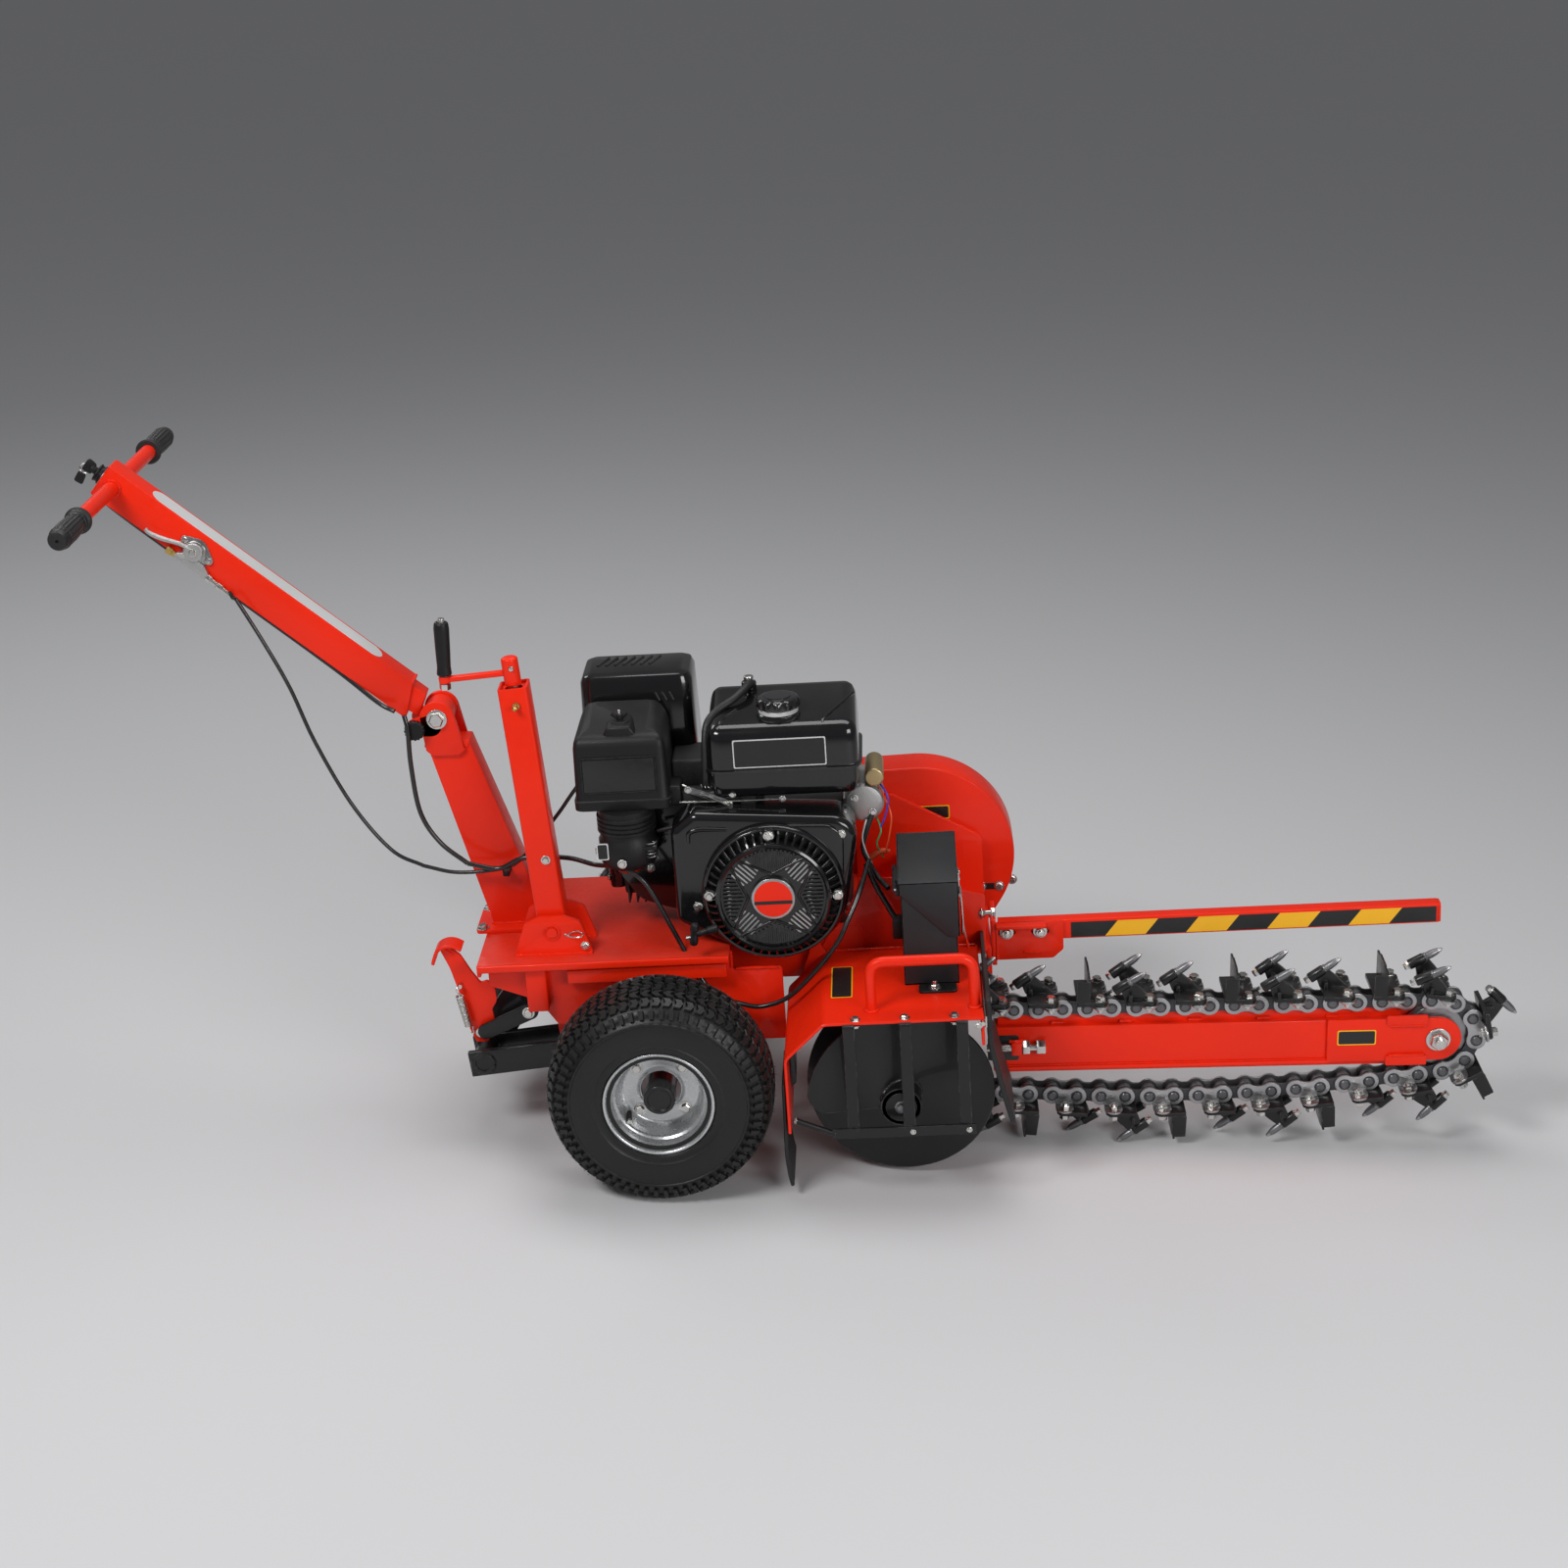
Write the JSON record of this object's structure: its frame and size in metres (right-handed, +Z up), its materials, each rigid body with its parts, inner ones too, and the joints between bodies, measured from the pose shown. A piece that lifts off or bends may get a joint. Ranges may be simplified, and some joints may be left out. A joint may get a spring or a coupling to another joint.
{
  "type": "walk-behind trencher",
  "caption": "Walk-behind trencher: engine deck on two turf tyres, chain boom with cutters, spoil auger under a hood, folding handle and screw jack.",
  "frame": {"origin": "on the ground at the middle of the machine's length and width", "axes": "+X towards the boom tip, +Y to the belt-cover side, +Z up; the deck rests 3.5 degrees nose up"},
  "size_m": [2.4289, 0.79, 1.1775],
  "materials": {
    "red_paint": "gloss, light wear",
    "black_paint": "satin",
    "engine_black": "gloss",
    "bare_steel": "satin",
    "zinc": "bright zinc plate",
    "rim_silver": "silver paint",
    "cast_alloy": "as cast",
    "cast_dark": "painted casting",
    "tyre_rubber": "matt",
    "soft_rubber": "matt",
    "black_plastic": "fine grain",
    "gloss_black_plastic": "gloss"
  },
  "bodies": {
    "frame": {"deck": "red_paint", "drive_frame": "red_paint", "lower_column": "red_paint", "jack_ears": "red_paint", "arm_hangers": "black_paint", "latch_spring": "zinc", "crankcase": "cast_dark", "blower_housing": "engine_black", "recoil_cover": "engine_black", "cylinder_head": "cast_dark", "air_filter": "black_plastic", "muffler": "engine_black", "fuel_tank": "engine_black", "starter_motor": "cast_alloy", "belt_cover": "red_paint", "drive_belt": "soft_rubber", "final_chain": "bare_steel", "auger_hood": "red_paint", "lift_handle": "red_paint", "auger_cage": "black_paint", "rubber_flaps": "soft_rubber", "battery_box": "black_plastic", "battery": "black_plastic", "inner_links": "bare_steel", "outer_links": "bare_steel", "cutters": "black_paint", "guard_bracket": "red_paint", "fasteners": "zinc", "cables": "soft_rubber"},
    "wheel_arm": {"swing_arm": "black_paint", "axle": "bare_steel"},
    "near_wheel": {"near_rim": "rim_silver", "near_tyre": "tyre_rubber"},
    "far_wheel": {"far_rim": "rim_silver", "far_tyre": "tyre_rubber"},
    "jack": {"jack_tube": "red_paint"},
    "ram": {"jack_ram": "red_paint"},
    "crank": {"crank": "red_paint"},
    "crank_knob": {"crank_grip": "black_plastic"},
    "handle": {"upper_column": "red_paint", "cross_bar": "red_paint", "hand_grips": "soft_rubber", "throttle_mount": "zinc", "key_switch": "black_plastic"},
    "throttle": {"throttle_lever": "zinc"},
    "key": {"ignition_key": "zinc"},
    "fold_knob": {"lock_knob": "black_plastic"},
    "latch": {"foot_latch": "red_paint"},
    "cap": {"fuel_cap": "gloss_black_plastic"},
    "starter_grip": {"recoil_grip": "black_plastic"},
    "engine_rotor": {"engine_shaft": "bare_steel"},
    "mid_shaft": {"jackshaft": "bare_steel"},
    "head": {"head_shaft": "bare_steel", "auger": "black_paint"},
    "boom": {"boom": "red_paint"},
    "nose": {"nose_roller": "bare_steel"},
    "guard": {"guard_bar": "red_paint"},
    "lid": {"battery_lid": "black_plastic"},
    "catch": {"lid_latch": "zinc"}
  },
  "joints": [
    {"name": "wheel_arm_tilt", "type": "hinge", "parent": "frame", "child": "wheel_arm", "pos_m": [-0.56406, 0, 0.14022], "axis": [0, -1, 0], "range_deg": [-13, 13]},
    {"name": "near_wheel_spin", "type": "hinge", "parent": "wheel_arm", "child": "near_wheel", "pos_m": [-0.2415, -0.32, 0.19], "axis": [0, 1, 0], "continuous": true},
    {"name": "far_wheel_spin", "type": "hinge", "parent": "wheel_arm", "child": "far_wheel", "pos_m": [-0.2415, 0.32, 0.19], "axis": [0, 1, 0], "continuous": true},
    {"name": "jack_tilt", "type": "hinge", "parent": "frame", "child": "jack", "pos_m": [-0.43716, -0.11, 0.39143], "axis": [0, -1, 0], "range_deg": [-1, 1]},
    {"name": "jack_extend", "type": "slide", "parent": "jack", "child": "ram", "axis": [0.1258, 0, -0.9921], "range_m": [-0.04, 0.04]},
    {"name": "crank_turn", "type": "hinge", "parent": "jack", "child": "crank", "pos_m": [-0.49479, -0.11, 0.84579], "axis": [-0.1258, 0, 0.9921], "continuous": true},
    {"name": "crank_knob_spin", "type": "hinge", "parent": "crank", "child": "crank_knob", "pos_m": [-0.6059, -0.11, 0.8317], "axis": [-0.0214, 0, 0.9998], "continuous": true},
    {"name": "handle_fold", "type": "hinge", "parent": "frame", "child": "handle", "pos_m": [-0.63544, 0, 0.73396], "axis": [0, 1, 0], "range_deg": [0, 45], "deforming": ["cables"]},
    {"name": "throttle_turn", "type": "hinge", "parent": "handle", "child": "throttle", "pos_m": [-1.0315, -0.036, 1.02727], "axis": [0, 1, 0], "range_deg": [-50, 8]},
    {"name": "key_turn", "type": "hinge", "parent": "handle", "child": "key", "pos_m": [-1.1873, 0, 1.15274], "axis": [-0.7912, 0, 0.6115], "range_deg": [0, 90]},
    {"name": "fold_knob_turn", "type": "hinge", "parent": "frame", "child": "fold_knob", "pos_m": [-0.67246, -0.041, 0.71667], "axis": [0, 1, 0], "continuous": true},
    {"name": "latch_press", "type": "hinge", "parent": "frame", "child": "latch", "pos_m": [-0.56986, -0.114, 0.18595], "axis": [0, -1, 0], "range_deg": [0, 15], "stiffness_Nm_per_rad": 3, "deforming": ["latch_spring"]},
    {"name": "fuel_cap_turn", "type": "hinge", "parent": "frame", "child": "cap", "pos_m": [-0.05508, -0.05, 0.77848], "axis": [-0.061, 0, 0.9981], "range_deg": [0, 90]},
    {"name": "starter_pull", "type": "slide", "parent": "frame", "child": "starter_grip", "axis": [-0.8335, -0.1199, 0.5394], "range_m": [0, 0.5]},
    {"name": "auger_spin", "type": "hinge", "parent": "frame", "child": "head", "pos_m": [0.15863, -0.105, 0.16739], "axis": [0, 1, 0], "continuous": true, "deforming": ["inner_links", "outer_links", "cutters", "final_chain", "drive_belt"]},
    {"name": "mid_shaft_spin", "type": "hinge", "parent": "frame", "child": "mid_shaft", "pos_m": [0.19376, 0.178, 0.41199], "axis": [0, 1, 0], "continuous": true},
    {"name": "engine_spin", "type": "hinge", "parent": "frame", "child": "engine_rotor", "pos_m": [-0.05866, 0.1, 0.4767], "axis": [0, 1, 0], "continuous": true},
    {"name": "boom_tension", "type": "slide", "parent": "frame", "child": "boom", "axis": [0.9992, 0, 0.0391], "range_m": [-0.006, 0.012]},
    {"name": "nose_spin", "type": "hinge", "parent": "boom", "child": "nose", "pos_m": [1.08192, -0.105, 0.2035], "axis": [0, 1, 0], "continuous": true},
    {"name": "guard_slide", "type": "slide", "parent": "frame", "child": "guard", "axis": [0.9981, 0, 0.061], "range_m": [-0.003, 0.012]},
    {"name": "lid_open", "type": "hinge", "parent": "frame", "child": "lid", "pos_m": [0.14416, -0.152, 0.50213], "axis": [0, -1, 0], "range_deg": [0, 75]},
    {"name": "catch_flip", "type": "hinge", "parent": "lid", "child": "catch", "pos_m": [0.25399, -0.152, 0.47879], "axis": [0, -1, 0], "range_deg": [0, 90]}
  ],
  "couplings": [
    {"joint": "jack_tilt", "follows": "wheel_arm_tilt", "ratio": -0.02666},
    {"joint": "jack_extend", "follows": "wheel_arm_tilt", "m_per_rad": -0.15657},
    {"joint": "mid_shaft_spin", "follows": "auger_spin", "ratio": 1.5},
    {"joint": "engine_spin", "follows": "auger_spin", "ratio": 3.9545},
    {"joint": "nose_spin", "follows": "auger_spin", "ratio": 1}
  ]
}
